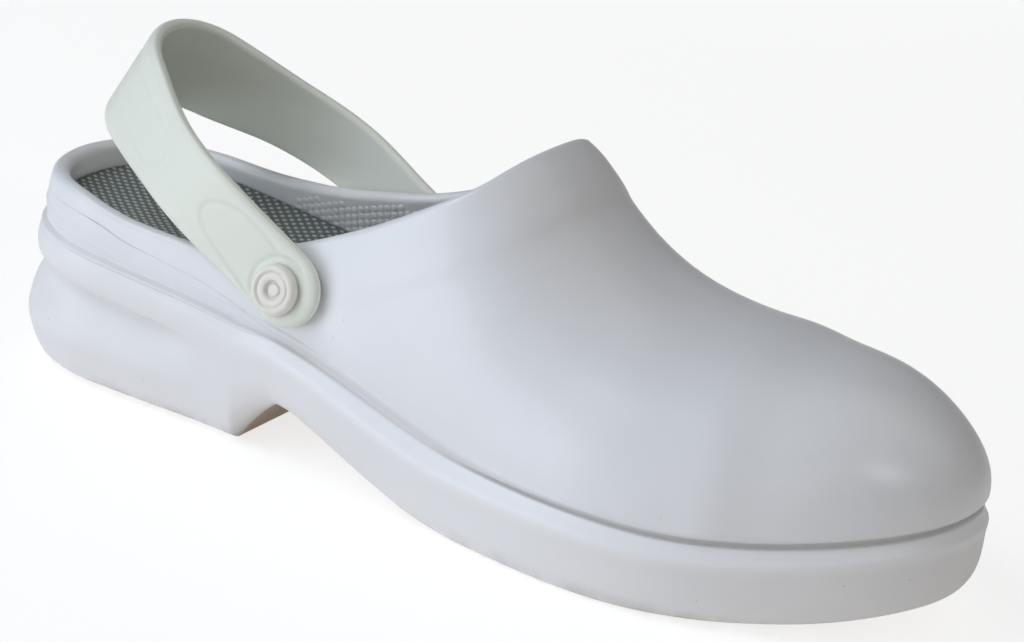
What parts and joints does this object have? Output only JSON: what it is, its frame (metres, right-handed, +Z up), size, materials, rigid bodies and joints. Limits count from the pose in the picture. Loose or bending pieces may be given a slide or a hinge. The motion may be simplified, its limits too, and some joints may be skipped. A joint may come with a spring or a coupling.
{
  "type": "safety clog",
  "caption": "White closed-toe safety clog for the right foot: hollow moulded upper, arched cup sole with heel block, dotted insole and a raised swivel heel strap held by rivets.",
  "frame": {"origin": "middle of the outline, on the floor that the sole stands on", "axes": "+X to the toe, +Y to the wearer's left (the inner side of this right shoe), +Z up"},
  "size_m": [0.2876, 0.1056, 0.1022],
  "materials": {
    "sole": "satin white moulding",
    "upper": "satin cool white",
    "insole": "dark cloth with light dots",
    "heel_strap": "satin pale sage",
    "rivet": "satin cream white"
  },
  "bodies": {
    "root": {"sole": "sole", "upper": "upper", "insole": "insole", "heel_strap": "heel_strap", "rivet_lateral": "rivet", "rivet_medial": "rivet"}
  },
  "joints": []
}
